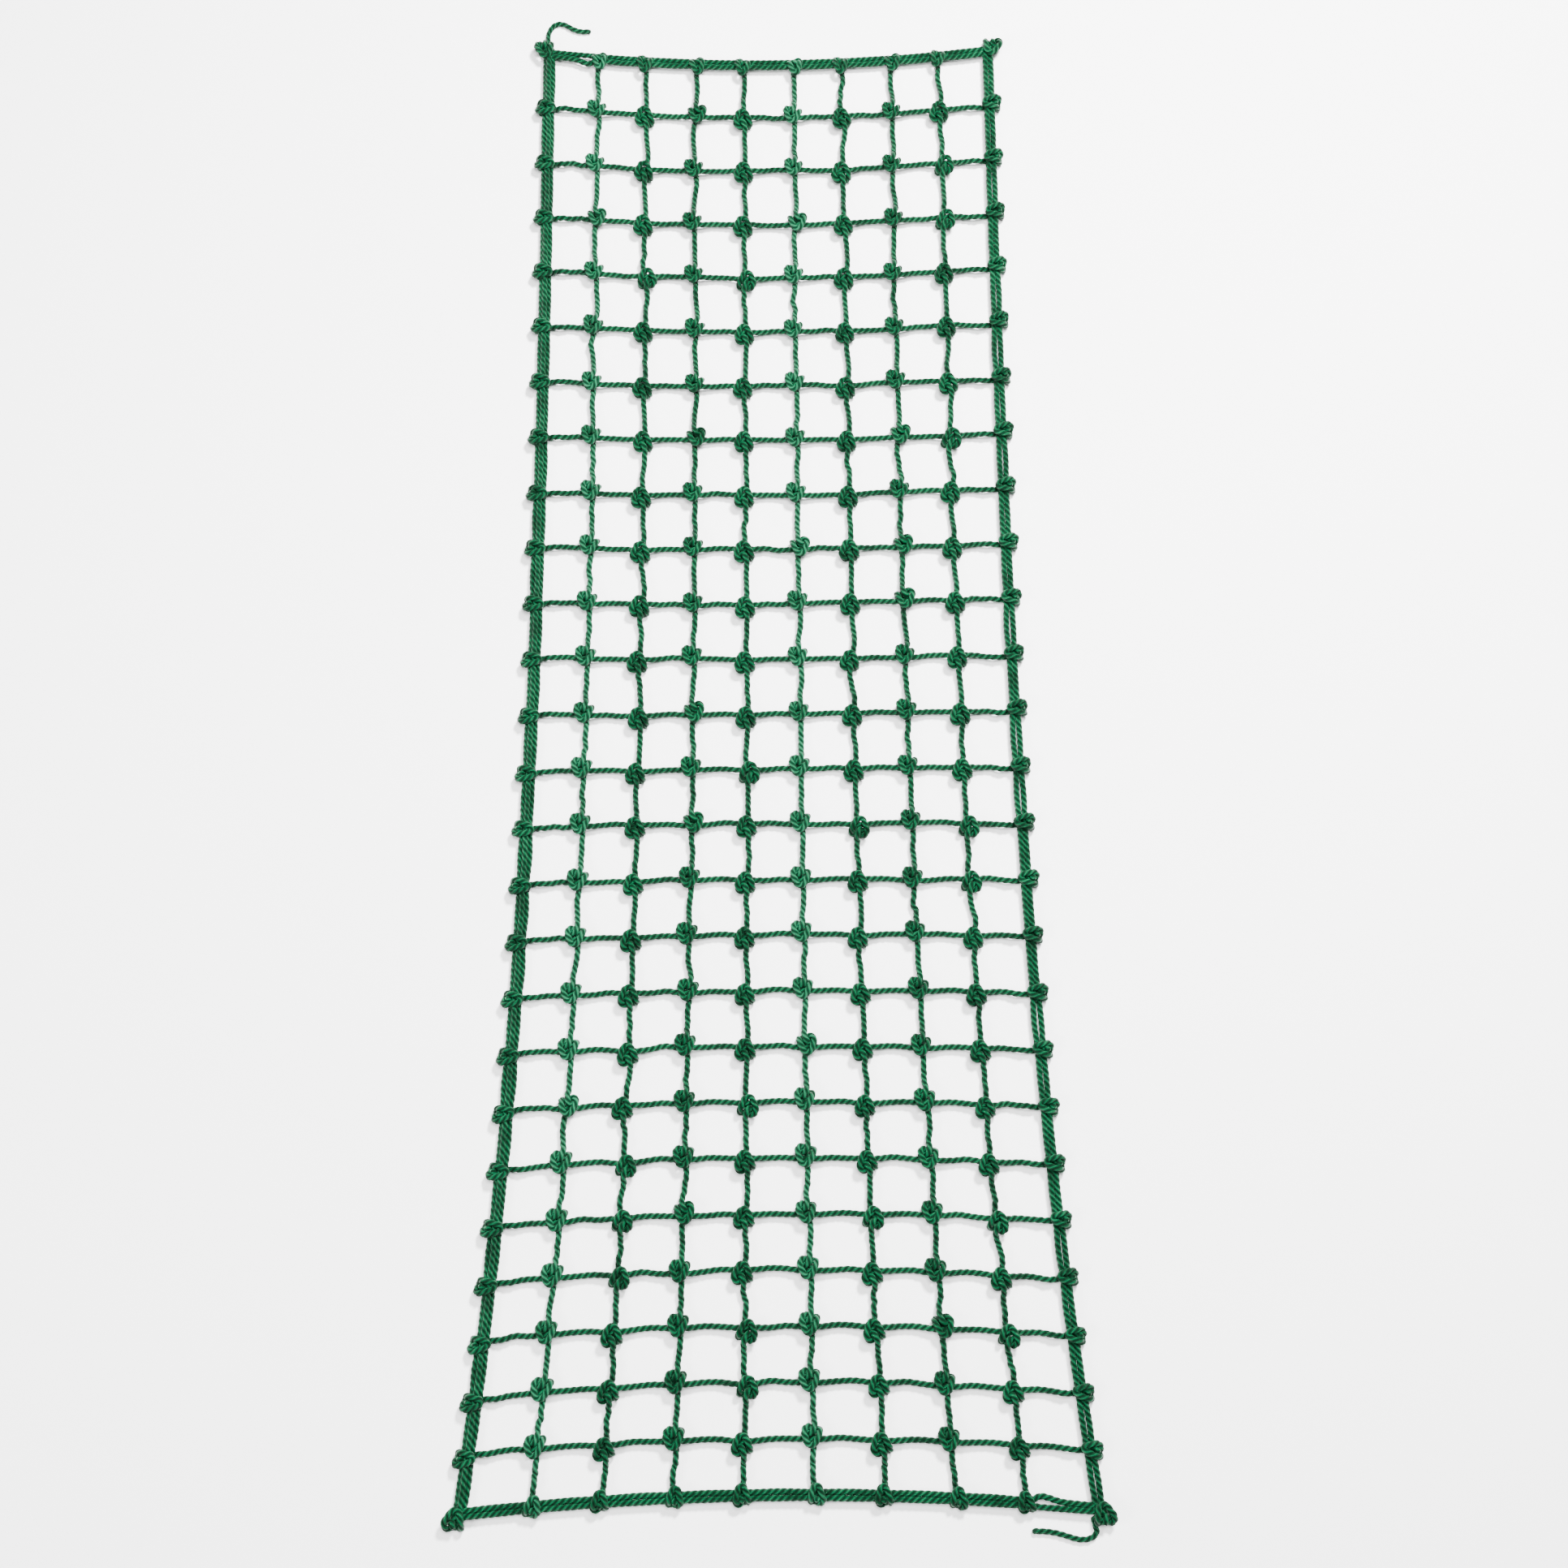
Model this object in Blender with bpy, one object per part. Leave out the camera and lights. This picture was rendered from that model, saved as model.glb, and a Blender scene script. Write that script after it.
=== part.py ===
"""Cargo climbing net: long cords knotted round cross cords, doubled borders, one fold line.

Metres, +Z up. The net lies flat on the floor plane z = 0 with its head towards +Y.
"""

import math

import bmesh
import bpy
from mathutils import Matrix, Vector

# Driving dimensions
PITCH = 0.111  # mean distance between cross cords
STRETCH = 0.12  # how much longer the cells are at the head than the mean, and shorter at the foot
ROWS = 26  # cells along the net
COLS = 9  # cells across the net
FOLD_ROW = 13  # first cross cord of the foot half; the fold is halfway to the one above it
LENGTH = ROWS * PITCH
HEAD_HALF = 0.459  # half the width at the head
FLARE = 0.115  # extra half width at the foot
BOW = 0.0285  # how far the head and foot borders curve in at their middle

CORD = 0.009  # side of a cord's square section, as much rope as 10 mm round
STRAND = 0.0049  # border strand, centre to corner of its six-sided section
TAIL = 0.0056  # radius of a loose tail
KNOT = 0.032  # knot width and height
KNOT_LONG = 0.036  # knot length along the long cord
KNOT_TOP = 0.29  # from a knot's middle to its full-width end, as a share of its length
MID = KNOT / 2  # height of the cords' centres, knots resting on the floor
GAP = 0.0003  # between pieces that touch
FOLD_GAP = 0.001  # between the cord ends of the two halves

SIDE_APART = 0.0115  # right border, centre to centre of its two strands
SIDE_WIDE = 0.0164  # left border, between its two lower strands
SIDE_RISE = 0.0062  # left border, third strand above the two it lies in
SIDE_RAISED = 0.0009  # left border, middle of its three strands above the cords' middle
END_APART = 0.011  # head and foot borders, centre to centre of their two strands
WRAP = 0.007  # thickness of a hitch round a border
HITCH_LONG = 0.018  # length of a hitch along a border
CORNER = 0.044  # corner knot, width and length
CORNER_EDGE = 0.006  # chamfer of a corner knot
CORNER_GAP = 0.001  # strands that end against a corner knot meet it at a slant
NEAR = 0.1  # cells to either side, for the direction of a border there
NEAR_LONG = 0.01  # the same along the net, as a length
FOLD_RISE = 0.0005  # fold axis above the tops of the knots
SMOOTH_UNDER = math.radians(65)  # edges sharper than this stay sharp on the round pieces


def start_scene():
    for thing in list(bpy.data.objects):
        bpy.data.objects.remove(thing, do_unlink=True)
    made = []
    for name in ("cargo_climbing_net", "cutters"):
        group = bpy.data.collections.new(name)
        bpy.context.scene.collection.children.link(group)
        made.append(group)
    return made


NET, CUTTERS = start_scene()


def half_width(t):
    return HEAD_HALF + FLARE * max(t, 0.0) ** 3


def along_net(t):
    """How far up the net a share of its length lies, from 0 at the head to 1 at the foot."""
    return LENGTH * (0.5 - t - STRETCH * t * (1 - t))


def spot(col, row, ahead=0.0, aside=0.0, lift=0.0):
    """Where a long cord meets a cross cord; ahead is towards the head, aside towards +X."""
    t = row / ROWS
    t -= ahead / (LENGTH * (1 + STRETCH * (1 - 2 * t)))
    u = 2 * col / COLS - 1
    y = along_net(t) - BOW * (1 - 2 * t) * (1 - u * u)
    return Vector((u * half_width(t) + aside, y, MID + lift))


def make_helper(thing):
    """Keeps a cutter or guide out of the render."""
    CUTTERS.objects.link(thing)
    thing.hide_render = True
    thing.display_type = "WIRE"
    return thing


def section(name, corners):
    """Closed flat outline that a cord is swept along."""
    curve = bpy.data.curves.new(name, "CURVE")
    curve.dimensions = "2D"
    line = curve.splines.new("POLY")
    line.points.add(len(corners) - 1)
    for point, (x, y) in zip(line.points, corners):
        point.co = (x, y, 0, 1)
    line.use_cyclic_u = True
    return make_helper(bpy.data.objects.new(name, curve))


def box_section(name, wide, tall):
    return section(name, [(x * wide / 2, y * tall / 2) for x, y in ((1, 1), (-1, 1), (-1, -1), (1, -1))])


def ring_section(name, radius, sides):
    turn = math.tau / sides
    return section(name, [(radius * math.cos(k * turn), radius * math.sin(k * turn)) for k in range(sides)])


def paint(thing, tint, roughness=0.5):
    material = bpy.data.materials.new(thing.name)
    material.use_nodes = True
    shader = material.node_tree.nodes["Principled BSDF"]
    shader.inputs["Base Color"].default_value = (0.012 * tint, 0.125 * tint, 0.048 * tint, 1)
    shader.inputs["Roughness"].default_value = roughness
    thing.data.materials.clear()
    thing.data.materials.append(material)
    return thing


def solid(name, points, outline, group, radii=None):
    """Sweeps an outline along points, caps both ends and welds the caps on."""
    curve = bpy.data.curves.new(name + "_line", "CURVE")
    curve.dimensions = "3D"
    curve.twist_mode = "Z_UP"
    curve.bevel_mode = "OBJECT"
    curve.bevel_object = outline
    curve.use_fill_caps = True
    line = curve.splines.new("POLY")
    line.points.add(len(points) - 1)
    for point, place, radius in zip(line.points, points, radii or [1.0] * len(points)):
        point.co = (*place, 1)
        point.radius = radius
    holder = bpy.data.objects.new(name + "_line", curve)
    CUTTERS.objects.link(holder)
    bpy.context.view_layer.update()
    graph = bpy.context.evaluated_depsgraph_get()
    mesh = bpy.data.meshes.new_from_object(holder.evaluated_get(graph))
    shape = bmesh.new()
    shape.from_mesh(mesh)
    bmesh.ops.remove_doubles(shape, verts=shape.verts, dist=0.00001)
    bmesh.ops.recalc_face_normals(shape, faces=shape.faces)
    shape.to_mesh(mesh)
    shape.free()
    made = bpy.data.objects.new(name, mesh)
    made.matrix_world = holder.matrix_world
    bpy.data.objects.remove(holder, do_unlink=True)
    if group is CUTTERS:
        return make_helper(made)
    group.objects.link(made)
    return made


def helper_mesh(name, shape):
    mesh = bpy.data.meshes.new(name)
    shape.to_mesh(mesh)
    shape.free()
    return make_helper(bpy.data.objects.new(name, mesh))


def join(name, things):
    """One cutter out of several."""
    shape = bmesh.new()
    for thing in things:
        shape.from_mesh(thing.data)
        bpy.data.objects.remove(thing, do_unlink=True)
    return helper_mesh(name, shape)


def change(thing, operation, other):
    modifier = thing.modifiers.new(other.name, "BOOLEAN")
    modifier.operation = operation
    modifier.solver = "EXACT"
    modifier.object = other


def shade_round(thing):
    """Smooth along a round cord, sharp at its ends."""
    thing.data.shade_smooth()
    thing.data.set_sharp_from_angle(angle=SMOOTH_UNDER)


def add_hitch(shape, centre, along, wide):
    """Eight-sided block that will be bored for the border strands it goes round."""
    along = along.normalized()
    up = Vector((0, 0, 1))
    side = up.cross(along)
    frame = Matrix((side, up, along)).transposed().to_4x4()
    frame.translation = centre
    reach = 0.5 / math.cos(math.pi / 8)
    size = Matrix.Diagonal((wide * reach, KNOT * reach, HITCH_LONG, 1))
    turned = Matrix.Rotation(math.pi / 8, 4, "Z")
    bmesh.ops.create_cone(
        shape, cap_ends=True, segments=8, radius1=1, radius2=1, depth=1, matrix=frame @ size @ turned
    )


def add_corner(shape, centre):
    cube = bmesh.ops.create_cube(
        shape, size=1, matrix=Matrix.Translation(centre) @ Matrix.Diagonal((CORNER, CORNER, KNOT, 1))
    )
    edges = list({edge for vert in cube["verts"] for edge in vert.link_edges})
    bmesh.ops.bevel(shape, geom=edges, offset=CORNER_EDGE, segments=1, affect="EDGES")


# Outlines
CORD_OUTLINE = box_section("cord_outline", CORD, CORD)
BORE_OUTLINE = box_section("bore_outline", CORD + 2 * GAP, CORD + 2 * GAP)
STRAND_OUTLINE = ring_section("strand_outline", STRAND, 6)
TAIL_OUTLINE = ring_section("tail_outline", TAIL, 8)
STRAND_TALL = STRAND * math.sqrt(3)
LEFT_HOLE = SIDE_WIDE + 2 * STRAND + 2 * GAP
RIGHT_HOLE = SIDE_APART + 2 * STRAND + 2 * GAP
END_HOLE = END_APART + 2 * STRAND + 2 * GAP
PAIR_HOLE_OUTLINE = box_section("pair_hole_outline", RIGHT_HOLE, STRAND_TALL + 2 * GAP)
LEFT_HOLE_OUTLINE = box_section("left_hole_outline", LEFT_HOLE, STRAND_TALL + SIDE_RISE + 2 * GAP)
END_HOLE_OUTLINE = box_section("end_hole_outline", END_HOLE, STRAND_TALL + 2 * GAP)

FOLD_MID = FOLD_ROW - 0.5
FOLD_Y = along_net(FOLD_MID / ROWS)
HEAD_ROWS = range(1, FOLD_ROW)
FOOT_ROWS = range(FOLD_ROW, ROWS)
HALVES = (("head", HEAD_ROWS), ("foot", FOOT_ROWS))
COLUMNS = range(1, COLS)
SIDE_STOPS = [0.0, 3.0, 6.0, 9.0, 12.0, 15.0, 17.0, 19.0, 21.0, 23.0, 26.0]
CROSS_STOPS = [0.0, 1.5, 3.5, 5.5, 7.5, 9.0]
TO_CORNER = CORNER / 2 + CORNER_GAP


def cross_points(row, cut_left=0.0, cut_right=0.0):
    """From side to side, shortened at each end along the line."""
    points = [spot(col, row) for col in CROSS_STOPS]
    first, last = points[1] - points[0], points[-1] - points[-2]
    points[0] += first * (cut_left / first.x)
    points[-1] -= last * (cut_right / last.x)
    return points


def at_length(start, end, y):
    return start.lerp(end, (y - start.y) / (end.y - start.y))


def side_points(edge, aside, lift, half):
    """A border strand of one half, from the corner knot to the fold."""
    col = COLS if edge == "right" else 0
    points = [spot(col, row, 0, aside, lift) for row in SIDE_STOPS]
    fold = next(k for k, row in enumerate(SIDE_STOPS) if row > FOLD_ROW)
    if half == "head":
        first = at_length(points[0], points[1], LENGTH / 2 - TO_CORNER)
        return [first, *points[1:fold], at_length(points[fold - 1], points[fold], FOLD_Y + FOLD_GAP / 2)]
    first = at_length(points[fold - 1], points[fold], FOLD_Y - FOLD_GAP / 2)
    return [first, *points[fold:-1], at_length(points[-2], points[-1], TO_CORNER - LENGTH / 2)]


# Cutters: where the cross cords and the border strands run
cross_bores = {}
for half, rows in HALVES:
    tubes = [solid(f"bore_{row}", cross_points(row), BORE_OUTLINE, CUTTERS) for row in rows]
    cross_bores[half] = join(f"{half}_cross_bores", tubes)

LEFT_LIFT = SIDE_RAISED - SIDE_RISE / 2
side_bores = {
    "left": solid(
        "left_border_bore",
        [spot(0, row, 0, 0, LEFT_LIFT + SIDE_RISE / 2) for row in SIDE_STOPS],
        LEFT_HOLE_OUTLINE,
        CUTTERS,
    ),
    "right": solid("right_border_bore", [spot(COLS, row) for row in SIDE_STOPS], PAIR_HOLE_OUTLINE, CUTTERS),
}
end_rows = {"head": 0, "foot": ROWS}
end_bores = {
    half: solid(f"{half}_border_bore", cross_points(row), END_HOLE_OUTLINE, CUTTERS)
    for half, row in end_rows.items()
}

# Long cords: a knot bead round every cross cord, and a hitch round the head or foot border
bead = (KNOT_LONG / 2, KNOT_LONG * KNOT_TOP)
for half, rows in HALVES:
    end_row = end_rows[half]
    inwards = -1 if half == "head" else 1
    start = inwards * (END_HOLE / 2 + WRAP / 2)
    for col in COLUMNS:
        points, radii = [], []
        for row in rows:
            for ahead, size in ((bead[0], 1), (bead[1], KNOT / CORD), (-bead[1], KNOT / CORD), (-bead[0], 1)):
                points.append(spot(col, row, ahead))
                radii.append(size)
        if half == "head":
            points = [spot(col, end_row, start), *points, spot(col, FOLD_MID, FOLD_GAP / 2)]
        else:
            points = [spot(col, FOLD_MID, -FOLD_GAP / 2), *points, spot(col, end_row, start)]
        radii = [1, *radii, 1]
        cord = solid(f"{half}_cord_{col}", points, CORD_OUTLINE, NET, radii)
        shape = bmesh.new()
        centre = spot(col, end_row)
        across = spot(col + NEAR, end_row) - spot(col - NEAR, end_row)
        add_hitch(shape, centre, across, END_HOLE + 2 * WRAP)
        change(cord, "UNION", helper_mesh(f"{half}_hitch_{col}", shape))
        change(cord, "DIFFERENCE", end_bores[half])
        change(cord, "DIFFERENCE", cross_bores[half])
        paint(cord, 0.9 + 0.03 * (col % 4), 0.48)

# Cross cords: straight through the knots, a hitch at each end round a side border
for row in range(1, ROWS):
    cord = solid(
        f"cross_cord_{row:02d}",
        cross_points(row, LEFT_HOLE / 2 + WRAP / 2, RIGHT_HOLE / 2 + WRAP / 2),
        CORD_OUTLINE,
        NET,
    )
    shape = bmesh.new()
    for col, hole in ((0, LEFT_HOLE), (COLS, RIGHT_HOLE)):
        along = spot(col, row, NEAR_LONG) - spot(col, row, -NEAR_LONG)
        add_hitch(shape, spot(col, row), along, hole + 2 * WRAP)
    change(cord, "UNION", helper_mesh(f"cross_hitches_{row:02d}", shape))
    for bore in side_bores.values():
        change(cord, "DIFFERENCE", bore)
    paint(cord, 1.0 + 0.04 * (row % 3), 0.45)

# Side borders: three strands on the left, two on the right, parted at the fold
strands = (
    ("left", "outer", -SIDE_WIDE / 2, LEFT_LIFT),
    ("left", "inner", SIDE_WIDE / 2, LEFT_LIFT),
    ("left", "upper", 0.0, LEFT_LIFT + SIDE_RISE),
    ("right", "inner", -SIDE_APART / 2, 0.0),
    ("right", "outer", SIDE_APART / 2, 0.0),
)
for half, _ in HALVES:
    for edge, which, aside, lift in strands:
        strand = solid(
            f"{half}_{edge}_{which}_strand", side_points(edge, aside, lift, half), STRAND_OUTLINE, NET
        )
        shade_round(strand)
        paint(strand, 1.1 if which == "outer" else 0.95, 0.45)

# Head and foot borders: two strands each, the outer one tied into the corner knots
for half, row in end_rows.items():
    outwards = 1 if half == "head" else -1
    for which, side in (("outer", outwards), ("inner", -outwards)):
        cut = TO_CORNER if which == "inner" else 0
        points = [point + Vector((0, side * END_APART / 2, 0)) for point in cross_points(row, cut, cut)]
        strand = solid(f"{half}_border_{which}_strand", points, STRAND_OUTLINE, NET)
        shade_round(strand)
        if which == "outer":
            shape = bmesh.new()
            for col in (0, COLS):
                add_corner(shape, spot(col, row))
            change(strand, "UNION", helper_mesh(f"{half}_corner_knots", shape))
        paint(strand, 1.05 if which == "outer" else 0.95, 0.45)


def smooth(stops, steps):
    """Points along a smooth curve through the stops."""
    stops = [Vector(stop) for stop in stops]
    ends = [2 * stops[0] - stops[1], *stops, 2 * stops[-1] - stops[-2]]
    points = []
    for a, b, c, d in zip(ends, ends[1:], ends[2:], ends[3:]):
        for k in range(steps):
            s = k / steps
            points.append(
                0.5 * (2 * b + (c - a) * s + (2 * a - 5 * b + 4 * c - d) * s**2 + (3 * b - a - 3 * c + d) * s**3)
            )
    return [*points, stops[-1]]


# Loose tails: each leaves its corner knot, drops to the floor and lies there in a bend
FLOOR_Z = TAIL + 0.00015
EXIT_Z = 0.0085
head_corner = spot(0, 0)
foot_corner = spot(COLS, ROWS)
tails = {
    "tail_head_left": (
        head_corner,
        (
            (-0.003, CORNER / 2 + GAP, EXIT_Z),
            (-0.003, 0.031, EXIT_Z),
            (-0.004, 0.043, 0.0065),
            (-0.002, 0.056, FLOOR_Z),
            (0.006, 0.070, FLOOR_Z),
            (0.019, 0.076, FLOOR_Z),
            (0.034, 0.072, FLOOR_Z),
            (0.049, 0.063, FLOOR_Z),
            (0.065, 0.058, FLOOR_Z),
            (0.085, 0.058, FLOOR_Z),
        ),
    ),
    "tail_foot_right": (
        foot_corner,
        (
            (-0.008, -CORNER / 2 - GAP, EXIT_Z),
            (-0.008, -0.029, EXIT_Z),
            (-0.005, -0.036, 0.0065),
            (-0.006, -0.043, FLOOR_Z),
            (-0.014, -0.050, FLOOR_Z),
            (-0.026, -0.053, FLOOR_Z),
            (-0.041, -0.052, FLOOR_Z),
            (-0.058, -0.047, FLOOR_Z),
            (-0.076, -0.042, FLOOR_Z),
            (-0.095, -0.039, FLOOR_Z),
            (-0.120, -0.038, FLOOR_Z),
        ),
    ),
}
for name, (corner, stops) in tails.items():
    route = [(corner.x + x, corner.y + y, z) for x, y, z in stops]
    tail = solid(name, smooth(route, 3), TAIL_OUTLINE, NET)
    shade_round(tail)
    paint(tail, 0.9, 0.45)


# The head half turns about the fold line; everything of it hangs on an empty there
pivot = bpy.data.objects.new("head_half", None)
pivot.location = (0, FOLD_Y, KNOT + FOLD_RISE)
NET.objects.link(pivot)
bpy.context.view_layer.update()
head_pieces = [f"cross_cord_{row:02d}" for row in HEAD_ROWS]
for thing in NET.objects:
    moves = thing.name in head_pieces or thing.name.startswith(("head_", "tail_head"))
    if moves and thing is not pivot:
        thing.parent = pivot
        thing.matrix_parent_inverse = pivot.matrix_world.inverted()
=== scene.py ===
"""Cargo climbing net: laid rope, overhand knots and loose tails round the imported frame.

Metres, +Z up. The net lies flat on the floor with its head towards +Y.
"""

import math

import bpy
import numpy as np
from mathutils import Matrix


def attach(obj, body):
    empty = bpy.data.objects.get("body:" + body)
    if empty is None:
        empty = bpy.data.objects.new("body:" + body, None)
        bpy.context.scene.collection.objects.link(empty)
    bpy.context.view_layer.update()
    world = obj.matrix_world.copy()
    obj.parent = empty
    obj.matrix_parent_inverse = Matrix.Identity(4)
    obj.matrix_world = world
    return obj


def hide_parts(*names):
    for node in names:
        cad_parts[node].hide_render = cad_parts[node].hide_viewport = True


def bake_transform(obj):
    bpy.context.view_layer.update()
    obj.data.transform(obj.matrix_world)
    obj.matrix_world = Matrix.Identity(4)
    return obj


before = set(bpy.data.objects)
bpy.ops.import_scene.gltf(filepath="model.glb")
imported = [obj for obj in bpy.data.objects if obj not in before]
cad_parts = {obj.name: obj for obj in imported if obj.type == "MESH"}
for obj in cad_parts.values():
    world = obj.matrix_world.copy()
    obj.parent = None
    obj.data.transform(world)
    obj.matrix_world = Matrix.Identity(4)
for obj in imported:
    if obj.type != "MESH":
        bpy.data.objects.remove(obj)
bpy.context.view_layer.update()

# Net plan, the same as the frame's
ROWS = 26  # cells from head to foot
COLS = 9  # cells from left to right
PITCH = 0.111  # mean length of a cell
LENGTH = ROWS * PITCH
STRETCH = 0.12  # how much longer the cells at the head are than those at the foot
HEAD_HALF = 0.459  # half the width at the head
FLARE = 0.115  # added to half the width at the foot
BOW = 0.0285  # how far the head and foot borders curve in towards the middle
FOLD_ROW = 13  # the net folds half a cell above this row

# Rope
ROPE = 0.0124  # diameter over the crests of the strands
LAY = 0.037  # length of one full turn of the three strands
STRANDS = 3
SIDES = 4 * STRANDS  # points round the rope
RING = 0.0033  # between rings along the rope
GROOVE = 0.28  # depth of the grooves between strands, as a share of the radius
END_TAPER = 0.72  # the last ring at each end, as a share of the radius
END_DOME = 0.25  # how far an end bulges out, as a share of the radius
YARNS = 27  # yarns that show across one lay
REST = 0.0003  # gap between the rope and the floor
SEED = 26

# Knots
KNOT_Z = 0.0168  # height of the cross cords inside the knots
KNOT_FLAT = 0.74  # knots are pressed a little flat
KNOT_TALL = 0.0322  # just under the height that the net folds at
KNOT_TURN = 0.05  # how unevenly knots are turned in the plane of the net, in radians
KNOT_SPREAD = 0.015  # the cross cord runs straight this far each side of a knot
MIRRORED = 0.12  # share of the knots that are tied left-handed
LOOP_GAP = 1.02  # between two runs of rope in a knot, in rope diameters
END_SIZE = 0.78  # hitches round two strands
SIDE_SIZE = 0.8  # hitches round three strands
CORNER_SIZE = 1.08
CORNER_OUT = (0.003, 0.004)  # corner knots sit this far outside the corner crossing
CORNER_LEAN = 0.3  # how much they point towards the middle of the net
INTO_TAIL = (-0.006, 0.002, 0.01)  # along the tail, where a corner knot's rope joins it
HANG = 0.0125  # head and foot hitches sit this far inside their border

# How the ropes lie
UPWARD = np.array((0.0, 0.0, 1.0))
STEPS = 6  # points of a curve between two of its stops
CROSS_STEPS = 8
SLIPPED = 0.0011  # how far crossings have slipped out of line
SWAY = 0.0011  # how crooked the long cords lie between knots
CROSS_SWAY = 0.0009
STRAND_SWAY = 0.0009
STRAND_LIFT = 0.0004
END_SWAY = 0.0002
SAG = 0.0045  # how much a rope hangs between two knots
SIDE_SAG = 0.0015
ARCH = 0.0022  # cross cords arch this far towards the head
PAST = 0.11  # how far border strands run on into the corner knots, in cells
CLOSE = 0.86  # how much border strands close in on each other at a knot
LENS = 2.3  # how much the two strands part beside the first knot
LENS_AT = 0.8  # where they part, in cells from the corner
LEFT_STRANDS = ((-0.0078, -0.0032), (0.0078, -0.0032), (0.0, 0.0032))  # aside and up
RIGHT_STRANDS = ((-0.0061, 0.0), (0.0061, 0.0))
END_STRANDS = (0.0057, -0.0057)

# Tails
TAIL_WIDE = 0.0112
TAIL_FLOOR = 0.0058  # height of the middle of a tail that lies on the floor
TAIL_EXIT = 0.0085  # height of the middle of a tail where it leaves its knot
SEALED = 0.006  # length of the melted end

# Rope colours: the rope's own green, a near-black used for fine fibre speckle and for painted shade in the
# grooves, and a light mint used for random lighter patches and for painted highlights on the crests of the
# yarns
BASE = (0.0, 0.0055, 0.0010)
GROOVE_SHADE_AND_FIBRE = (0.0, 0.0002, 0.0)
PATCH_TONE_AND_HIGHLIGHT = (0.005, 0.19, 0.072)
# a lighter green for the pale cords, in the same roles: own colour, fibre speckle with painted groove shade,
# lighter patches with painted highlights
PALE_BASE = (0.002, 0.026, 0.009)
PALE_GROOVE_SHADE_AND_FIBRE = (0.0, 0.001, 0.0003)
PALE_PATCH_TONE_AND_HIGHLIGHT = (0.02, 0.27, 0.125)
PALE_COLS = (1, 5)  # these two long cords are a lighter green
SEAL = (0.004, 0.012, 0.007)
ROUGH = 0.28
GLOSS_TINT = (0.22, 1.0, 0.55, 1)
SHEEN_TINT = (0.3, 1.0, 0.55, 1)

# Studio
FLOOR_Z = -0.0004
FLOOR_HALF = 30
FLOOR_GREY = 0.86
WORLD_LIGHT = 0.2
LAMPS = {  # place, watts and size of each, all aimed at the middle of the net
    "key": ((1.6, 2.6, 4.6), 1800, 0.9),
    "top": ((0.3, 0.2, 6.0), 800, 2.2),
    "fill": ((-3.4, -1.8, 3.6), 280, 1.8),
}

rng = np.random.default_rng(SEED)


# ---------------------------------------------------------------- camera

def make_camera():
    """High over the foot end, looking down and a little towards the head."""
    data = bpy.data.cameras.new("camera")
    data.sensor_width = 36.0
    data.lens = 49.25
    data.shift_y = -0.05
    camera = bpy.data.objects.new("camera", data)
    camera.location = (0.0106, -0.8972, 4.0876)
    camera.rotation_euler = [math.radians(angle) for angle in (12.96, -0.033, -0.48)]
    bpy.context.scene.collection.objects.link(camera)
    bpy.context.scene.camera = camera


# ---------------------------------------------------------------- curves

def catmull(stops, steps):
    """Points along a smooth curve through the stops."""
    stops = np.asarray(stops, float)
    ends = np.vstack([2 * stops[0] - stops[1], stops, 2 * stops[-1] - stops[-2]])
    s = (np.arange(steps) / steps)[:, None]
    out = []
    for a, b, c, d in zip(ends, ends[1:], ends[2:], ends[3:]):
        square = 2 * a - 5 * b + 4 * c - d
        cube = 3 * b - a - 3 * c + d
        out.append(0.5 * (2 * b + (c - a) * s + square * s**2 + cube * s**3))
    return np.vstack([*out, stops[-1:]])


def distances(points):
    """How far along the curve each of its points is."""
    return np.r_[0, np.cumsum(np.linalg.norm(np.diff(points, axis=0), axis=1))]


def spaced(points, count):
    """The same curve with this many evenly spaced points."""
    run = distances(points)
    where = np.linspace(0, run[-1], count)
    return np.stack([np.interp(where, run, points[:, k]) for k in range(3)], axis=1)


def even(points, gap):
    """The same curve with points about this far apart."""
    return spaced(points, max(2, int(round(distances(points)[-1] / gap)) + 1))


def frames(points):
    """Tangents and steady side vectors along a curve."""
    tangents = np.gradient(points, axis=0)
    tangents /= np.linalg.norm(tangents, axis=1)[:, None]
    side = np.cross(tangents[0], (0.0, 0.0, 1.0))
    if np.linalg.norm(side) < 0.1:
        side = np.array((1.0, 0.0, 0.0))
    sides = np.empty_like(points)
    for k, tangent in enumerate(tangents):
        side = side - tangent * (side @ tangent)
        side = side / math.sqrt(side @ side)
        sides[k] = side
    return tangents, sides


# ---------------------------------------------------------------- rope meshes

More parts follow.
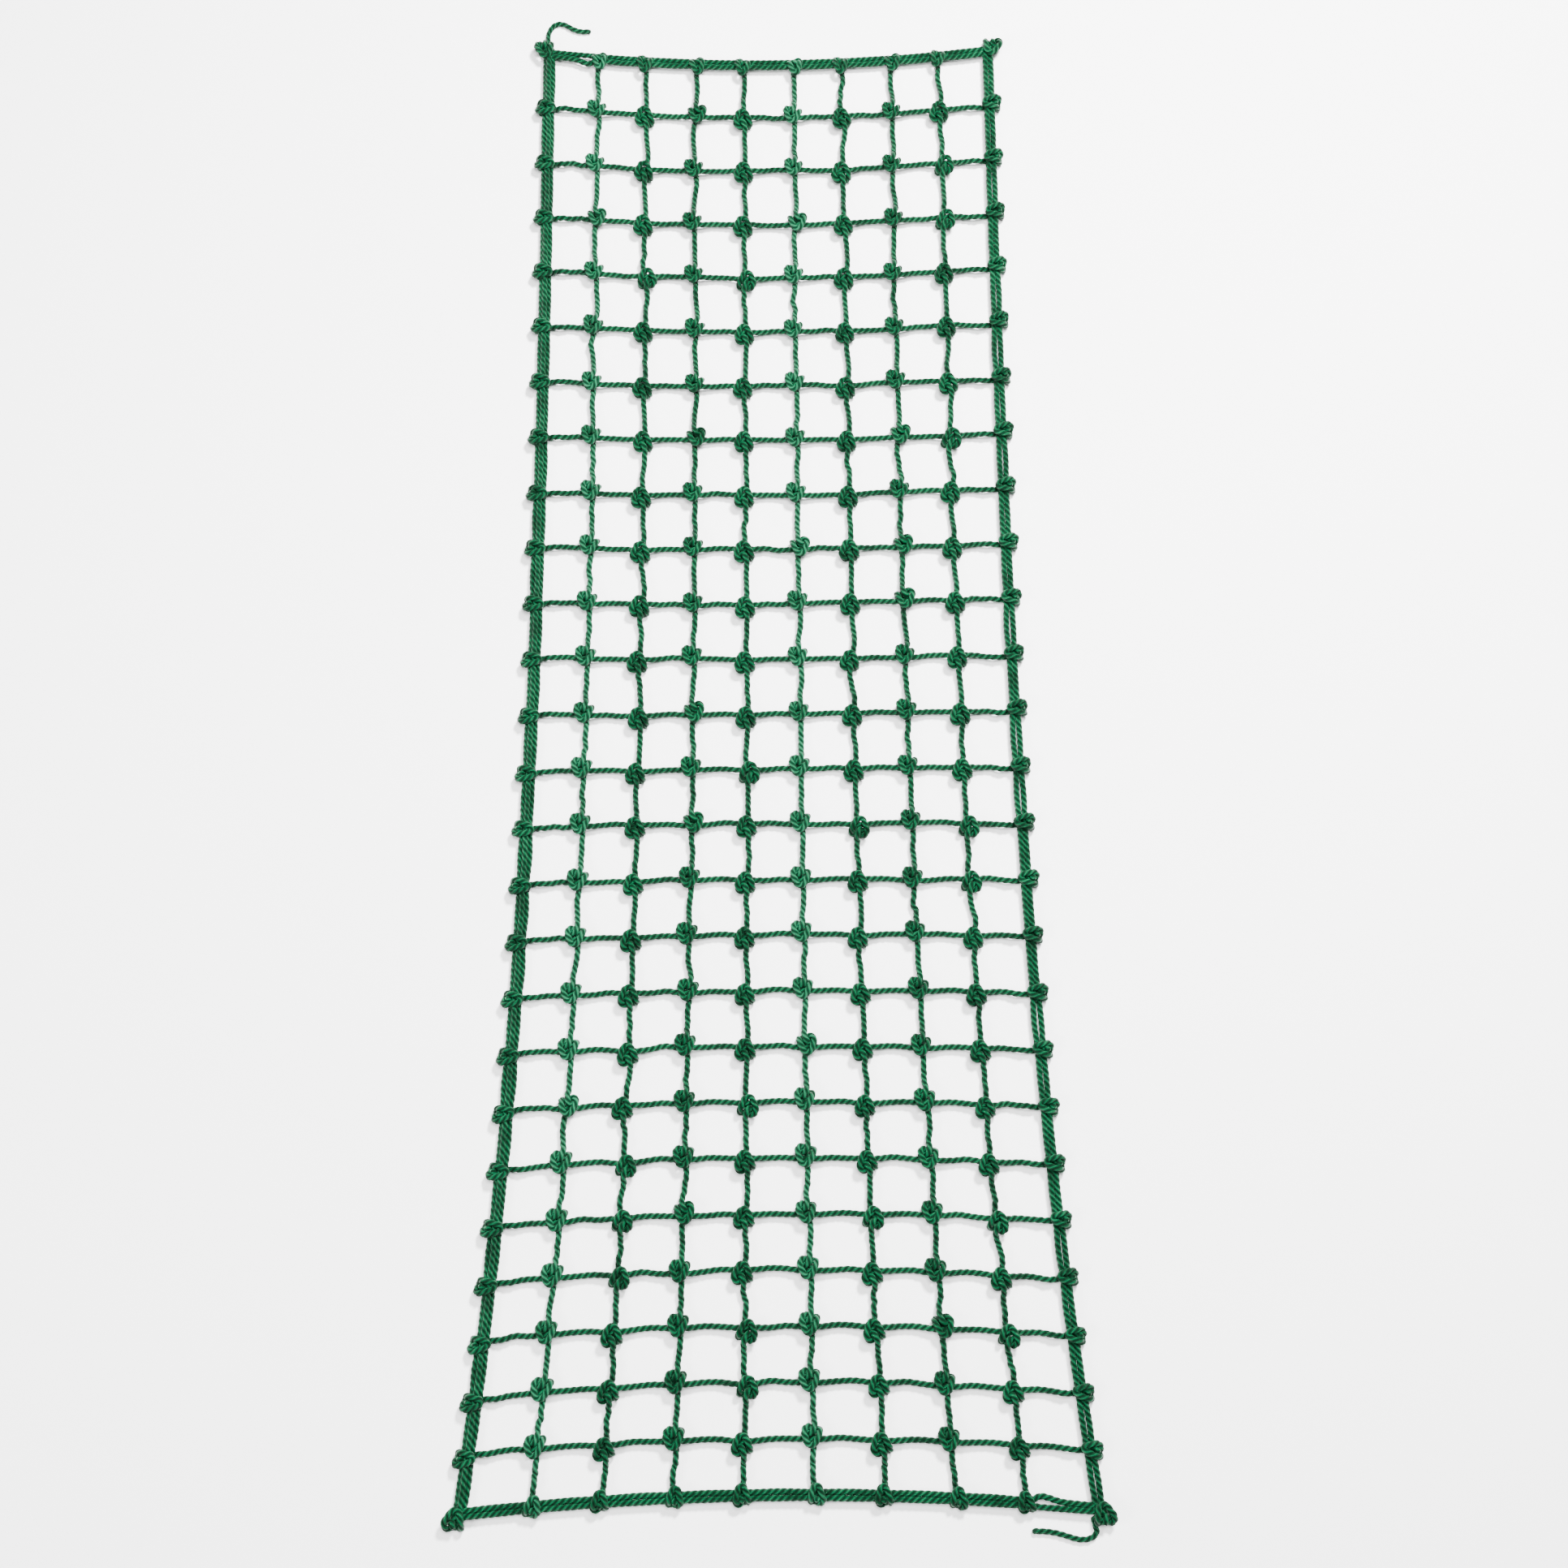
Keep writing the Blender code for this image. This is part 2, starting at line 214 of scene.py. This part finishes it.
def rope_mesh(name, runs, radius=ROPE / 2, start_turn=0.0):
    """Laid rope along each run of points, closed at both ends, as one mesh."""
    phi = np.arange(SIDES) * math.tau / SIDES
    dip = np.abs(np.sin(0.5 * STRANDS * phi)) ** 4
    reach = radius * (1 - GROOVE * dip)
    verts, faces, uvs, dips = [], [], [], []
    base = 0
    for run in runs:
        points = even(run, RING)
        count = len(points)
        tangents, sides = frames(points)
        ups = np.cross(tangents, sides)
        along = distances(points)
        turn = start_turn - along * math.tau / LAY
        angle = turn[:, None] + phi[None]
        taper = np.ones(count)
        taper[[0, -1]] = END_TAPER
        size = reach[None] * taper[:, None]
        ring = (
            points[:, None]
            + sides[:, None] * (np.cos(angle) * size)[..., None]
            + ups[:, None] * (np.sin(angle) * size)[..., None]
        )
        dome = radius * END_DOME
        caps = [points[0] - tangents[0] * dome, points[-1] + tangents[-1] * dome]
        verts.append(np.vstack([ring.reshape(-1, 3), *caps]))
        dips.append(np.r_[np.tile(dip, count), 0.5, 0.5])
        i, k = np.meshgrid(np.arange(count - 1), np.arange(SIDES), indexing="ij")
        j = (k + 1) % SIDES
        here, after = i * SIDES, (i + 1) * SIDES
        quads = np.stack([here + k, here + j, after + j, after + k], axis=-1)
        faces.append((base + quads.reshape(-1, 4), base, count))
        u = np.stack([k, k + 1, k + 1, k], axis=-1) / SIDES
        v = np.stack([along[i], along[i], along[i + 1], along[i + 1]], axis=-1) / LAY
        uvs.append(np.stack([u, v], axis=-1).reshape(-1, 2))
        base += count * SIDES + 2
    return finish_mesh(name, verts, faces, uvs, dips)


def finish_mesh(name, verts, faces, uvs, dips):
    """Joins the runs into one object, with both ends closed and the lay and grooves stored on it."""
    verts = np.vstack(verts)
    loops, starts, sizes, coords = [], [], [], []
    at = 0
    for (quads, base, count), uv in zip(faces, uvs):
        k = np.arange(SIDES)
        j = (k + 1) % SIDES
        first, last = base + count * SIDES, base + count * SIDES + 1
        head = np.stack([np.full(SIDES, first), base + j, base + k], axis=1)
        tail_ring = base + (count - 1) * SIDES
        tail = np.stack([np.full(SIDES, last), tail_ring + k, tail_ring + j], axis=1)
        tris = np.vstack([head, tail])
        loops += [quads.ravel(), tris.ravel()]
        starts += [at + 4 * np.arange(len(quads)), at + 4 * len(quads) + 3 * np.arange(len(tris))]
        sizes += [np.full(len(quads), 4), np.full(len(tris), 3)]
        coords += [uv, np.zeros((tris.size, 2))]
        at += quads.size + tris.size
    loops, starts, sizes = (np.concatenate(x).astype(np.int32) for x in (loops, starts, sizes))
    mesh = bpy.data.meshes.new(name)
    mesh.vertices.add(len(verts))
    mesh.vertices.foreach_set("co", verts.astype(np.float32).ravel())
    mesh.loops.add(len(loops))
    mesh.loops.foreach_set("vertex_index", loops)
    mesh.polygons.add(len(starts))
    mesh.polygons.foreach_set("loop_start", starts)
    mesh.polygons.foreach_set("loop_total", sizes)
    layer = mesh.uv_layers.new(name="lay")
    layer.data.foreach_set("uv", np.vstack(coords).astype(np.float32).ravel())
    groove = mesh.attributes.new("groove", "FLOAT", "POINT")
    groove.data.foreach_set("value", np.concatenate(dips).astype(np.float32))
    mesh.update(calc_edges=True)
    mesh.validate()
    mesh.shade_smooth()
    piece = bpy.data.objects.new(name, mesh)
    bpy.context.scene.collection.objects.link(piece)
    return piece


# ---------------------------------------------------------------- knots

# An overhand knot, in rope diameters: it enters at the top, goes behind the ropes it is tied
# round, loops up and over in front, goes behind itself and leaves at the bottom in front.
KNOT_STOPS = (
    (0.06, 2.7, 0.0), (0.08, 2.2, -0.15), (0.1, 1.7, -0.4), (0.06, 1.1, -0.8), (0.0, 0.4, -1.05),
    (-0.1, -0.45, -1.0), (-0.4, -1.05, -0.45), (-0.9, -1.2, 0.15), (-1.12, -0.7, 0.7), (-1.1, 0.05, 1.05),
    (-0.95, 0.6, 0.92), (-0.52, 0.88, 0.75), (-0.02, 0.82, 0.8), (0.34, 0.5, 0.98), (0.5, 0.05, 1.1),
    (0.72, -0.45, 1.0), (0.88, -1.05, 0.35), (0.7, -1.3, -0.5), (0.25, -1.1, -1.3), (-0.45, -0.95, -1.3),
    (-0.8, -0.75, -0.6), (-0.42, -0.72, 0.65), (-0.12, -1.35, 0.8), (-0.06, -1.85, 0.4), (-0.02, -2.3, 0.1),
    (0.0, -2.7, 0.0),
)
KNOT_POINTS = 96
KNOT_ROUNDS = 400
KNOT_DEEPEST = -1.28  # the back of a knot is pressed flat here


def tighten(core, spread=1.0, rise=1.0):
    """Relaxes the knot round the core ropes, so that no two runs of rope pass through each other.

    Each round pulls every point a little back to where it started and to its neighbours,
    and pushes it away from any other run of rope and from the core ropes.
    """
    curve = catmull(KNOT_STOPS, 8) * (1.0, spread, rise)
    start = spaced(curve, KNOT_POINTS)
    skip = int(math.ceil(1.5 / (distances(curve)[-1] / (KNOT_POINTS - 1))))
    i, j = np.indices((KNOT_POINTS, KNOT_POINTS))
    apart = np.abs(i - j) >= skip
    bend = start[:-2] + start[2:] - 2 * start[1:-1]
    points = start.copy()
    for _ in range(KNOT_ROUNDS):
        moved = points + 0.03 * (start - points)
        moved[1:-1] += 0.12 * (points[:-2] + points[2:] - 2 * points[1:-1] - 0.7 * bend)
        gap = points[:, None] - points[None]
        far = np.linalg.norm(gap, axis=2) + 1e-9
        close = apart & (far < LOOP_GAP)
        moved += (gap / far[..., None] * ((LOOP_GAP - far) * 0.3 * close)[..., None]).sum(1)
        for y, z in core:
            away = np.hypot(points[:, 1] - y, points[:, 2] - z) + 1e-9
            push = np.clip(LOOP_GAP - away, 0, None) * 0.6
            moved[:, 1] += (points[:, 1] - y) / away * push
            moved[:, 2] += (points[:, 2] - z) / away * push
        moved[:, 2] = np.maximum(moved[:, 2], KNOT_DEEPEST * rise)
        moved[:2], moved[-2:] = start[:2], start[-2:]
        points = moved
    return points


# The ropes that each knot is tied round, along the knot and up, in rope diameters
SINGLE = ((0.0, 0.0),)
PAIR = ((-0.56, 0.0), (0.56, 0.0))
TRIO = ((-0.7, -0.25), (0.7, -0.25), (0.0, 0.42))
CROSSING = tighten(SINGLE)
ROUND_PAIR = tighten(PAIR, 1.32, 1.0)
ROUND_TRIO = tighten(TRIO, 1.36, 1.12)


HITCH_END = -1.75  # a hitch's rope is cut off here, below its knot
CORNER_START = 1.7
CORNER_END = -1.5


def trimmed(knot, top, bottom):
    """The part of a knot from where it comes in below the top to where it leaves at the bottom."""
    first = np.argmax(knot[:, 1] < top)
    last = len(knot) - np.argmax(knot[::-1, 1] > bottom)
    return knot[first:last]


def place(knot, centre, right, up, mirrored, size=1.0):
    """A knot from rope diameters to metres, at a crossing, pressed between floor and KNOT_TALL."""
    sign = -1.0 if mirrored else 1.0
    right = np.asarray(right) / np.linalg.norm(right)
    up = np.asarray(up) / np.linalg.norm(up)
    local = knot * (sign * ROPE * size, ROPE * size, ROPE * KNOT_FLAT)
    points = centre + local[:, :1] * right + local[:, 1:2] * up + local[:, 2:] * UPWARD
    points[:, 2] = np.clip(points[:, 2], ROPE / 2 + REST, KNOT_TALL - ROPE / 2)
    return points


# ---------------------------------------------------------------- plan of the net

def spot(col, row):
    """Where a column and a row cross; fractions lie between, and rows count from the head."""
    t = row / ROWS
    u = 2 * col / COLS - 1
    half = HEAD_HALF + FLARE * max(t, 0.0) ** 3
    y = LENGTH * (0.5 - t - STRETCH * t * (1 - t)) - BOW * (1 - 2 * t) * (1 - u * u)
    return np.array((u * half, y, KNOT_Z))


def towards_head(col, row):
    """The way along a column at this place."""
    step = spot(col, row - 0.1) - spot(col, row + 0.1)
    return step / np.linalg.norm(step)


def towards_right(col, row):
    """The way along a row at this place."""
    step = spot(col + 0.1, row) - spot(col - 0.1, row)
    return step / np.linalg.norm(step)


# Where a crossing has slipped a little, the same for the long and the cross rope
SLIP = rng.normal(0, SLIPPED, (COLS + 1, ROWS + 1, 2))
SLIP[:, [0, -1]] = 0
SLIP[[0, -1], :, 0] = 0


def crossing(col, row):
    centre = spot(col, row)
    centre[:2] += SLIP[col, row]
    return centre


def sway(a, b, amount, lean=0.0):
    """Two points that let a rope sag and lie a little crooked between two knots."""
    span = b - a
    side = np.cross(span, UPWARD)
    side /= np.linalg.norm(side)
    shift = rng.normal(lean, amount, 2)
    drop = SAG * UPWARD
    return [a + span * share + side * move - drop for share, move in zip((0.34, 0.66), shift)]


def bridge(before, after):
    """The stretch between the end of one run of points and the start of the next."""
    between = sway(before[-1], after[0], SWAY)
    stops = np.vstack([before[-4], before[-1], *between, after[0], after[3]])
    return catmull(stops, STEPS)[STEPS + 1 : -STEPS - 1]


def turned(knot):
    """The same knot tied from the other side."""
    return knot[::-1] * (1.0, -1.0, 1.0)


def jitter(right, up):
    """Turns a knot's axes a little in the plane of the net."""
    angle = rng.normal(0, KNOT_TURN)
    c, s = math.cos(angle), math.sin(angle)
    return right * c + up * s, up * c - right * s


def tied(col, row):
    """The knot of a long cord round a cross cord."""
    right, up = jitter(towards_right(col, row), towards_head(col, row))
    knot = CROSSING if col % 2 == 0 else turned(CROSSING)
    size = rng.uniform(0.97, 1.04)
    return place(knot, crossing(col, row), right, up, rng.random() < MIRRORED, size)


def hitched(knot, col, row, inward, right, size, shift=0.0):
    """A knot that ties a cord's end round a border; inward points from the border into the net."""
    right, up = jitter(right, inward)
    centre = crossing(col, row) + up * shift - right * knot[0, 0] * ROPE * size
    size *= rng.uniform(0.98, 1.03)
    return place(trimmed(knot, math.inf, HITCH_END), centre, right, up, False, size)


def long_cord(col):
    """A cord from the head border to the foot border, with a knot round every cross cord."""
    swap = -1 if col % 2 else 1
    right, up = towards_right(col, 0) * swap, towards_head(col, 0)
    head = hitched(ROUND_PAIR, col, 0, -up, right, END_SIZE, HANG)
    right, up = towards_right(col, ROWS) * swap, towards_head(col, ROWS)
    foot = hitched(ROUND_PAIR, col, ROWS, up, right, END_SIZE, HANG / 2)
    parts = [head[::-1], *(tied(col, row) for row in range(1, ROWS)), foot]
    path = [parts[0]]
    for before, after in zip(parts, parts[1:]):
        path += [bridge(before, after), after]
    return np.vstack(path)


def cross_cord(row):
    """A cord from the left border to the right one, straight through the knots between them."""
    along, up = towards_right(0, row), towards_head(0, row)
    left = hitched(ROUND_TRIO, 0, row, along, up, SIDE_SIZE)
    along, up = towards_right(COLS, row), towards_head(COLS, row)
    right = hitched(ROUND_PAIR, COLS, row, -along, -up, END_SIZE)
    stops = [left[0]]
    for col in range(1, COLS):
        centre = crossing(col, row)
        reach = towards_right(col, row) * KNOT_SPREAD
        here = [centre - reach, centre + reach]
        stops += sway(stops[-1], here[0], CROSS_SWAY, -ARCH) + here
    stops += sway(stops[-1], right[0], CROSS_SWAY, -ARCH) + [right[0]]
    curve = catmull(np.array([left[3], *stops, right[3]]), CROSS_STEPS)
    return np.vstack([left[::-1], curve[CROSS_STEPS + 1 : -CROSS_STEPS - 1], right])


def corner_knot(col, row, outward):
    """Ties the borders together; where a tail leaves, the knot's rope runs on into it."""
    out = -1.0 if col == 0 else 1.0
    inward = np.array((-CORNER_LEAN * out, -outward, 0.0))
    right = np.array((-outward, CORNER_LEAN * out, 0.0)) * out * outward
    centre = spot(col, row) + np.array((CORNER_OUT[0] * out, CORNER_OUT[1] * outward, 0.0))
    knot = trimmed(CROSSING, CORNER_START, CORNER_END)
    knot = place(knot, centre, right, inward, False, CORNER_SIZE)
    for tail_col, tail_row, _, stops in TAILS.values():
        if (tail_col, tail_row) == (col, row):
            start = spot(col, row) * (1, 1, 0) + stops[0]
            away = np.array(stops[1]) - stops[0]
            away /= np.linalg.norm(away)
            into = [start + away * share for share in INTO_TAIL]
            run_on = catmull([knot[-4], knot[-1], *into], STEPS)
            return np.vstack([knot, run_on[STEPS + 1 : -STEPS]])
    return knot


def side_strand(col, aside, lift):
    """A border strand along one side; it closes in on its neighbours at each knot."""
    stops = []
    for row in (-PAST, *np.arange(0, ROWS + 0.01, 0.5), ROWS + PAST):
        whole = abs(row - round(row)) < 0.2
        centre = spot(col, row)
        if whole:
            centre[:2] += SLIP[col, int(round(row))]
            stops.append(centre + (aside * CLOSE, 0, lift))
        else:
            out = aside + rng.normal(0, STRAND_SWAY)
            stops.append(centre + (out, 0, lift + rng.normal(0, STRAND_LIFT) - SIDE_SAG))
    return catmull(np.array(stops), STEPS)


def end_strand(row, aside):
    """A head or foot border strand; the inner one parts from the outer beside the corner with a tail."""
    stops = []
    lens = LENS_AT if row == 0 else COLS - LENS_AT
    inner = aside * (1 if row == 0 else -1) < 0
    for col in sorted((-PAST, *np.arange(0, COLS + 0.01, 0.5), lens, COLS + PAST)):
        whole = abs(col - round(col)) < 0.15
        spread = LENS if inner and col == lens else CLOSE if whole else 1.0
        drop = 0.0 if whole else SIDE_SAG
        stray = 0 if whole else rng.normal(0, END_SWAY)
        stops.append(spot(col, row) + (0, aside * spread + stray, -drop))
    return catmull(np.array(stops), STEPS)


# ---------------------------------------------------------------- material

def rope_material(name, base, shade_and_fibre, tone_and_highlight):
    """Laid synthetic rope: painted highlights on the yarns along the strand crests, painted shade in the
    grooves between the strands, a soft gloss.
    """
    material = bpy.data.materials.new(name)
    material.use_nodes = True
    tree = material.node_tree
    tree.nodes.clear()

    def node(kind, **settings):
        made = tree.nodes.new(kind)
        for key, value in settings.items():
            setattr(made, key, value)
        return made

    def link(a, b):
        tree.links.new(a, b)

    def maths(operation, a, b=None, clamp=False):
        made = node("ShaderNodeMath", operation=operation, use_clamp=clamp)
        for socket, value in zip(made.inputs, (a, b)):
            if value is None:
                continue
            if isinstance(value, (int, float)):
                socket.default_value = value
            else:
                link(value, socket)
        return made.outputs[0]

    def mix(amount, a, b):
        made = node("ShaderNodeMix", data_type="RGBA")
        link(amount, made.inputs[0])
        for socket, value in ((made.inputs[6], a), (made.inputs[7], b)):
            if isinstance(value, tuple):
                socket.default_value = (*value, 1)
            else:
                link(value, socket)
        return made.outputs[2]

    lay = node("ShaderNodeUVMap", uv_map="lay")
    split = node("ShaderNodeSeparateXYZ")
    link(lay.outputs[0], split.inputs[0])
    round_rope, along_rope = split.outputs[0], split.outputs[1]
    strand = maths("ABSOLUTE", maths("SINE", maths("MULTIPLY", round_rope, STRANDS * math.pi)))
    groove = maths("POWER", strand, 2.2)
    coordinates = node("ShaderNodeTexCoord")

    def noise(scale, detail):
        made = node("ShaderNodeTexNoise")
        made.inputs["Scale"].default_value = scale
        made.inputs["Detail"].default_value = detail
        link(coordinates.outputs["Object"], made.inputs["Vector"])
        return made.outputs["Fac"]

    wander = noise(160.0, 2.0)
    fibre = noise(1400.0, 3.0)
    patches = node("ShaderNodeMapRange")
    patches.inputs["From Min"].default_value = 0.3
    patches.inputs["From Max"].default_value = 0.7
    link(noise(26.0, 3.0), patches.inputs["Value"])
    patch = patches.outputs["Result"]

    yarn_at = maths("MULTIPLY", maths("SUBTRACT", round_rope, along_rope), math.tau * YARNS)
    yarn_at = maths("ADD", yarn_at, maths("MULTIPLY", wander, 5.0))
    yarn = maths("MULTIPLY", maths("ADD", maths("SINE", yarn_at), 1.0), 0.5)
    crest = maths("SUBTRACT", 1.0, groove, True)
    # painted highlight: glints on the yarns along the crests of the strands, stronger in the lighter patches
    glint = maths("MULTIPLY", maths("POWER", yarn, 1.6), maths("POWER", crest, 1.5))
    glint = maths("MULTIPLY", glint, maths("ADD", maths("MULTIPLY", patch, 0.55), 0.15))

    # random lighter patches: the rope's own green mixed a little towards the light mint
    lighter_patch = tuple(0.86 * a + 0.14 * b for a, b in zip(base, tone_and_highlight))
    colour = mix(patch, base, lighter_patch)
    # painted highlight: the glints are mixed towards the light mint
    colour = mix(glint, colour, tone_and_highlight)
    colour = mix(maths("MULTIPLY", fibre, 0.35), colour, shade_and_fibre)
    # painted shade: the grooves between the strands are mixed almost fully towards the near-black colour
    colour = mix(maths("MULTIPLY", groove, 0.92, True), colour, shade_and_fibre)
    seal = node("ShaderNodeAttribute", attribute_name="seal")
    colour = mix(seal.outputs["Fac"], colour, SEAL)

    height = maths("ADD", maths("MULTIPLY", yarn, 0.6), maths("MULTIPLY", fibre, 0.35))
    height = maths("SUBTRACT", height, maths("MULTIPLY", groove, 1.2))
    bump = node("ShaderNodeBump")
    bump.inputs["Strength"].default_value = 0.75
    bump.inputs["Distance"].default_value = 0.0010
    link(height, bump.inputs["Height"])

    roughness = maths("ADD", maths("MULTIPLY", groove, 0.35), ROUGH)
    roughness = maths("ADD", roughness, maths("MULTIPLY", fibre, 0.12))
    shader = node("ShaderNodeBsdfPrincipled")
    shader.inputs["Specular IOR Level"].default_value = 0.17
    shader.inputs["Specular Tint"].default_value = GLOSS_TINT
    shader.inputs["Sheen Weight"].default_value = 0.03
    shader.inputs["Sheen Roughness"].default_value = 0.4
    shader.inputs["Sheen Tint"].default_value = SHEEN_TINT
    link(colour, shader.inputs["Base Color"])
    link(roughness, shader.inputs["Roughness"])
    link(bump.outputs["Normal"], shader.inputs["Normal"])
    out = node("ShaderNodeOutputMaterial")
    link(shader.outputs[0], out.inputs["Surface"])
    return material


LONG = rope_material("long_rope_green", BASE, GROOVE_SHADE_AND_FIBRE, PATCH_TONE_AND_HIGHLIGHT)
PALE = rope_material("long_rope_pale_green", PALE_BASE, PALE_GROOVE_SHADE_AND_FIBRE, PALE_PATCH_TONE_AND_HIGHLIGHT)
CROSS = rope_material("cross_rope_green", BASE, GROOVE_SHADE_AND_FIBRE, PATCH_TONE_AND_HIGHLIGHT)
EDGE = rope_material("border_rope_green", BASE, GROOVE_SHADE_AND_FIBRE, PATCH_TONE_AND_HIGHLIGHT)
TAIL_GREEN = rope_material("tail_rope_green", BASE, GROOVE_SHADE_AND_FIBRE, PATCH_TONE_AND_HIGHLIGHT)


def finish_piece(piece, material, slot, *nodes, body=None):
    """Gives a rope its material and hides the nodes it replaces; it rides on one half's body, or else its
    transform is baked in.
    """
    piece.data.materials.append(material)
    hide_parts(*nodes)
    if body:
        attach(piece, body)
    else:
        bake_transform(piece)


make_camera()

# ---------------------------------------------------------------- tails

TAILS = {  # corner column and row, body, and the way from the corner to the tail's end
    "tail_head_left": (0, 0, "head_half", (
        (-0.003, 0.0223, TAIL_EXIT), (-0.003, 0.031, TAIL_EXIT), (-0.004, 0.043, 0.0065),
        (-0.002, 0.056, TAIL_FLOOR), (0.006, 0.070, TAIL_FLOOR), (0.019, 0.076, TAIL_FLOOR),
        (0.034, 0.072, TAIL_FLOOR), (0.049, 0.063, TAIL_FLOOR), (0.065, 0.058, TAIL_FLOOR),
        (0.085, 0.058, TAIL_FLOOR),
    )),
    "tail_foot_right": (COLS, ROWS, "foot_half", (
        (-0.008, -0.0223, TAIL_EXIT), (-0.008, -0.029, TAIL_EXIT), (-0.005, -0.036, 0.0065),
        (-0.006, -0.043, TAIL_FLOOR), (-0.014, -0.050, TAIL_FLOOR), (-0.026, -0.053, TAIL_FLOOR),
        (-0.041, -0.052, TAIL_FLOOR), (-0.058, -0.047, TAIL_FLOOR), (-0.076, -0.042, TAIL_FLOOR),
        (-0.095, -0.039, TAIL_FLOOR), (-0.120, -0.038, TAIL_FLOOR),
    )),
}
for name, (col, row, body, stops) in TAILS.items():
    corner = spot(col, row)
    corner[2] = 0.0
    route = catmull(corner + np.array(stops), STEPS)
    tail = rope_mesh(name + "_rope", [route], TAIL_WIDE / 2)
    from_end = np.linalg.norm(np.array([vert.co for vert in tail.data.vertices]) - route[-1], axis=1)
    seal = tail.data.attributes.new("seal", "FLOAT", "POINT")
    seal.data.foreach_set("value", np.clip(1.6 - from_end / SEALED, 0, 1).astype(np.float32))
    finish_piece(tail, TAIL_GREEN, "tail_rope", name, body=body)

# ---------------------------------------------------------------- net

for col in range(1, COLS):
    cord = rope_mesh(f"long_cord_{col}", [long_cord(col)], start_turn=rng.uniform(0, math.tau))
    green = PALE if col in PALE_COLS else LONG
    finish_piece(cord, green, "long_rope", f"head_cord_{col}", f"foot_cord_{col}")

for row in range(1, ROWS):
    cord = rope_mesh(f"cross_rope_{row:02d}", [cross_cord(row)], start_turn=rng.uniform(0, math.tau))
    body = "head_half" if row < FOLD_ROW else "foot_half"
    finish_piece(cord, CROSS, "cross_rope", f"cross_cord_{row:02d}", body=body)

SIDE_BORDERS = {
    "left": (0, dict(zip(("outer", "inner", "upper"), LEFT_STRANDS))),
    "right": (COLS, dict(zip(("inner", "outer"), RIGHT_STRANDS))),
}
for side, (col, strands) in SIDE_BORDERS.items():
    for which, (aside, lift) in strands.items():
        path = side_strand(col, aside, lift)
        rope = rope_mesh(f"{side}_border_{which}", [path], start_turn=rng.uniform(0, math.tau))
        nodes = [f"{half}_{side}_{which}_strand" for half in ("head", "foot")]
        finish_piece(rope, EDGE, "border_rope", *nodes)

for half, row, outward in (("head", 0, 1), ("foot", ROWS, -1)):
    for aside, which in zip(END_STRANDS, ("outer", "inner")):
        runs = [end_strand(row, aside * outward)]
        if which == "outer":
            runs += [corner_knot(col, row, outward) for col in (0, COLS)]
        rope = rope_mesh(f"{half}_border_{which}", runs, start_turn=rng.uniform(0, math.tau))
        finish_piece(rope, EDGE, "border_rope", f"{half}_border_{which}_strand", body=f"{half}_half")

# ---------------------------------------------------------------- floor and light

def make_floor():
    corners = [(-1, -1), (1, -1), (1, 1), (-1, 1)]
    points = [(x * FLOOR_HALF, y * FLOOR_HALF, FLOOR_Z) for x, y in corners]
    mesh = bpy.data.meshes.new("floor")
    mesh.from_pydata(points, [], [(0, 1, 2, 3)])
    floor = bpy.data.objects.new("floor", mesh)
    bpy.context.scene.collection.objects.link(floor)
    material = bpy.data.materials.new("pale_floor")
    material.use_nodes = True
    shader = material.node_tree.nodes["Principled BSDF"]
    shader.inputs["Base Color"].default_value = (FLOOR_GREY, FLOOR_GREY, FLOOR_GREY, 1)
    shader.inputs["Roughness"].default_value = 0.9
    mesh.materials.append(material)


def make_light():
    world = bpy.data.worlds.new("studio")
    world.use_nodes = True
    background = world.node_tree.nodes["Background"]
    background.inputs["Color"].default_value = (1, 1, 1, 1)
    background.inputs["Strength"].default_value = WORLD_LIGHT
    bpy.context.scene.world = world
    for name, (place_at, power, size) in LAMPS.items():
        data = bpy.data.lights.new(name, "AREA")
        data.energy = power
        data.size = size
        lamp = bpy.data.objects.new(name, data)
        lamp.location = place_at
        way = -np.array(place_at)
        way /= np.linalg.norm(way)
        turn = math.atan2(way[1], way[0]) - math.pi / 2
        lamp.rotation_euler = (math.acos(-way[2]), 0, turn)
        bpy.context.scene.collection.objects.link(lamp)


make_floor()
make_light()
